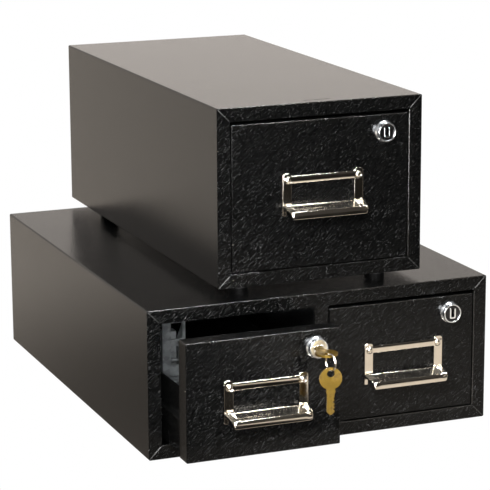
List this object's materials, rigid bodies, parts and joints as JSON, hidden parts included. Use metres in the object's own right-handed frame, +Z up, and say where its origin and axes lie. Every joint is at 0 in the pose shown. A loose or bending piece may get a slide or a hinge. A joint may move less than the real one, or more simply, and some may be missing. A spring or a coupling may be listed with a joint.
{
  "type": "card index cabinet",
  "caption": "Steel card index cabinets stacked on rubber feet, with black grained enamel, roller-slide drawers, label-holder pulls, cam locks, keys on a ring and sliding card followers.",
  "frame": {"origin": "under the middle of the whole stack's box, in the plane that the lower feet stand on", "axes": "+Z up, +Y from the drawer fronts to the back panels, drawers open towards -Y, +X to the right as seen from the front"},
  "size_m": [0.3174, 0.5198, 0.2988],
  "materials": {
    "black_enamel": "leather-grain semi-gloss enamel",
    "galvanised_steel": "spangled zinc",
    "nickel_plate": "polished nickel",
    "chrome_plate": "polished",
    "plug_metal": "dark satin",
    "zinc_plate": "bright zinc",
    "brass": "worn satin",
    "ring_wire": "polished wire",
    "white_nylon": "moulded",
    "rubber": "matt"
  },
  "bodies": {
    "lower_cabinet": {"lower_casing": "black_enamel", "lower_back_panel": "black_enamel", "lower_divider": "black_enamel", "lower_channels": "galvanised_steel", "lower_strikes": "black_enamel", "lower_feet": "rubber"},
    "upper_cabinet": {"upper_casing": "black_enamel", "upper_back_panel": "black_enamel", "upper_channels": "galvanised_steel", "upper_strikes": "black_enamel", "upper_feet": "rubber"},
    "left_drawer": {"left_drawer_front": "black_enamel", "left_tray": "black_enamel", "left_drawer_rails": "black_enamel", "left_label_pull": "nickel_plate", "left_pull_rivets": "nickel_plate", "left_follower_rail": "galvanised_steel", "left_lock_body": "chrome_plate", "left_lock_nut": "zinc_plate"},
    "left_tray_rollers": {"left_tray_rollers": "white_nylon"},
    "left_case_rollers": {"left_case_rollers": "white_nylon"},
    "left_follower": {"left_follower": "galvanised_steel"},
    "left_follower_lever": {"left_follower_lever": "galvanised_steel"},
    "left_lock_plug": {"left_lock_plug": "plug_metal", "left_lock_cam": "zinc_plate", "left_cam_screw": "zinc_plate"},
    "right_drawer": {"right_drawer_front": "black_enamel", "right_tray": "black_enamel", "right_drawer_rails": "black_enamel", "right_label_pull": "nickel_plate", "right_pull_rivets": "nickel_plate", "right_follower_rail": "galvanised_steel", "right_lock_body": "chrome_plate", "right_lock_nut": "zinc_plate"},
    "right_tray_rollers": {"right_tray_rollers": "white_nylon"},
    "right_case_rollers": {"right_case_rollers": "white_nylon"},
    "right_follower": {"right_follower": "galvanised_steel"},
    "right_follower_lever": {"right_follower_lever": "galvanised_steel"},
    "right_lock_plug": {"right_lock_plug": "plug_metal", "right_lock_cam": "zinc_plate", "right_cam_screw": "zinc_plate"},
    "upper_drawer": {"upper_drawer_front": "black_enamel", "upper_tray": "black_enamel", "upper_drawer_rails": "black_enamel", "upper_label_pull": "nickel_plate", "upper_pull_rivets": "nickel_plate", "upper_follower_rail": "galvanised_steel", "upper_lock_body": "chrome_plate", "upper_lock_nut": "zinc_plate"},
    "upper_tray_rollers": {"upper_tray_rollers": "white_nylon"},
    "upper_case_rollers": {"upper_case_rollers": "white_nylon"},
    "upper_follower": {"upper_follower": "galvanised_steel"},
    "upper_follower_lever": {"upper_follower_lever": "galvanised_steel"},
    "upper_lock_plug": {"upper_lock_plug": "plug_metal", "upper_lock_cam": "zinc_plate", "upper_cam_screw": "zinc_plate"},
    "lock_key": {"lock_key": "brass"},
    "key_ring": {"key_ring": "ring_wire"},
    "spare_key": {"spare_key": "brass"}
  },
  "joints": [
    {"name": "upper_cabinet_lift", "type": "slide", "parent": "lower_cabinet", "child": "upper_cabinet", "axis": [0, 0, 1], "range_m": [0, 0.05]},
    {"name": "left_drawer_slide", "type": "slide", "parent": "lower_cabinet", "child": "left_drawer", "axis": [0, -1, 0], "range_m": [-0.056, 0.251]},
    {"name": "left_tray_roller_turn", "type": "hinge", "parent": "left_drawer", "child": "left_tray_rollers", "pos_m": [-0.0765, 0.12252, 0.0469], "axis": [1, 0, 0], "range_deg": [-537, 2399]},
    {"name": "left_case_roller_turn", "type": "hinge", "parent": "lower_cabinet", "child": "left_case_rollers", "pos_m": [-0.0765, -0.14148, 0.0469], "axis": [1, 0, 0], "range_deg": [-537, 2399]},
    {"name": "left_follower_slide", "type": "slide", "parent": "left_drawer", "child": "left_follower", "axis": [0, 1, 0], "range_m": [-0.16, 0.12]},
    {"name": "left_follower_lever_press", "type": "hinge", "parent": "left_follower", "child": "left_follower_lever", "pos_m": [-0.0765, 0.00752, 0.0379], "axis": [1, 0, 0], "range_deg": [0, 12], "stiffness_Nm_per_rad": 0.02, "springref_deg": -11.46},
    {"name": "left_lock_turn", "type": "hinge", "parent": "left_drawer", "child": "left_lock_plug", "pos_m": [-0.02995, -0.22248, 0.1067], "axis": [0, 1, 0], "range_deg": [-90, 90]},
    {"name": "right_drawer_slide", "type": "slide", "parent": "lower_cabinet", "child": "right_drawer", "axis": [0, -1, 0], "range_m": [0, 0.307]},
    {"name": "right_tray_roller_turn", "type": "hinge", "parent": "right_drawer", "child": "right_tray_rollers", "pos_m": [0.0765, 0.17852, 0.0469], "axis": [1, 0, 0], "range_deg": [0, 2934]},
    {"name": "right_case_roller_turn", "type": "hinge", "parent": "lower_cabinet", "child": "right_case_rollers", "pos_m": [0.0765, -0.14148, 0.0469], "axis": [1, 0, 0], "range_deg": [0, 2934]},
    {"name": "right_follower_slide", "type": "slide", "parent": "right_drawer", "child": "right_follower", "axis": [0, 1, 0], "range_m": [-0.16, 0.12]},
    {"name": "right_follower_lever_press", "type": "hinge", "parent": "right_follower", "child": "right_follower_lever", "pos_m": [0.0765, 0.06352, 0.0379], "axis": [1, 0, 0], "range_deg": [0, 12], "stiffness_Nm_per_rad": 0.02, "springref_deg": -11.46},
    {"name": "right_lock_turn", "type": "hinge", "parent": "right_drawer", "child": "right_lock_plug", "pos_m": [0.12305, -0.16648, 0.1067], "axis": [0, 1, 0], "range_deg": [0, 180]},
    {"name": "upper_drawer_slide", "type": "slide", "parent": "upper_cabinet", "child": "upper_drawer", "axis": [0, -1, 0], "range_m": [0, 0.307]},
    {"name": "upper_tray_roller_turn", "type": "hinge", "parent": "upper_drawer", "child": "upper_tray_rollers", "pos_m": [0.008, 0.19852, 0.1836], "axis": [1, 0, 0], "range_deg": [0, 2934]},
    {"name": "upper_case_roller_turn", "type": "hinge", "parent": "upper_cabinet", "child": "upper_case_rollers", "pos_m": [0.008, -0.12148, 0.1836], "axis": [1, 0, 0], "range_deg": [0, 2934]},
    {"name": "upper_follower_slide", "type": "slide", "parent": "upper_drawer", "child": "upper_follower", "axis": [0, 1, 0], "range_m": [-0.16, 0.12]},
    {"name": "upper_follower_lever_press", "type": "hinge", "parent": "upper_follower", "child": "upper_follower_lever", "pos_m": [0.008, 0.08352, 0.1746], "axis": [1, 0, 0], "range_deg": [0, 12], "stiffness_Nm_per_rad": 0.02, "springref_deg": -11.46},
    {"name": "upper_lock_turn", "type": "hinge", "parent": "upper_drawer", "child": "upper_lock_plug", "pos_m": [0.06755, -0.14648, 0.2688], "axis": [0, 1, 0], "range_deg": [0, 180]},
    {"name": "lock_key_pull", "type": "slide", "parent": "left_lock_plug", "child": "lock_key", "axis": [0, -1, 0], "range_m": [0, 0.02]},
    {"name": "key_ring_swing", "type": "hinge", "parent": "lock_key", "child": "key_ring", "pos_m": [-0.02995, -0.25248, 0.1067], "axis": [0.9903, 0.1392, 0], "range_deg": [-8, 8]},
    {"name": "spare_key_hang", "type": "hinge", "parent": "key_ring", "child": "spare_key", "pos_m": [-0.02995, -0.25248, 0.0944], "axis": [-0.1392, 0.9903, 0], "range_deg": [-25, 25]}
  ],
  "couplings": [
    {"joint": "left_tray_roller_turn", "follows": "left_drawer_slide", "rad_per_m": 166.67},
    {"joint": "left_case_roller_turn", "follows": "left_drawer_slide", "rad_per_m": 166.67},
    {"joint": "right_tray_roller_turn", "follows": "right_drawer_slide", "rad_per_m": 166.67},
    {"joint": "right_case_roller_turn", "follows": "right_drawer_slide", "rad_per_m": 166.67},
    {"joint": "upper_tray_roller_turn", "follows": "upper_drawer_slide", "rad_per_m": 166.67},
    {"joint": "upper_case_roller_turn", "follows": "upper_drawer_slide", "rad_per_m": 166.67}
  ]
}
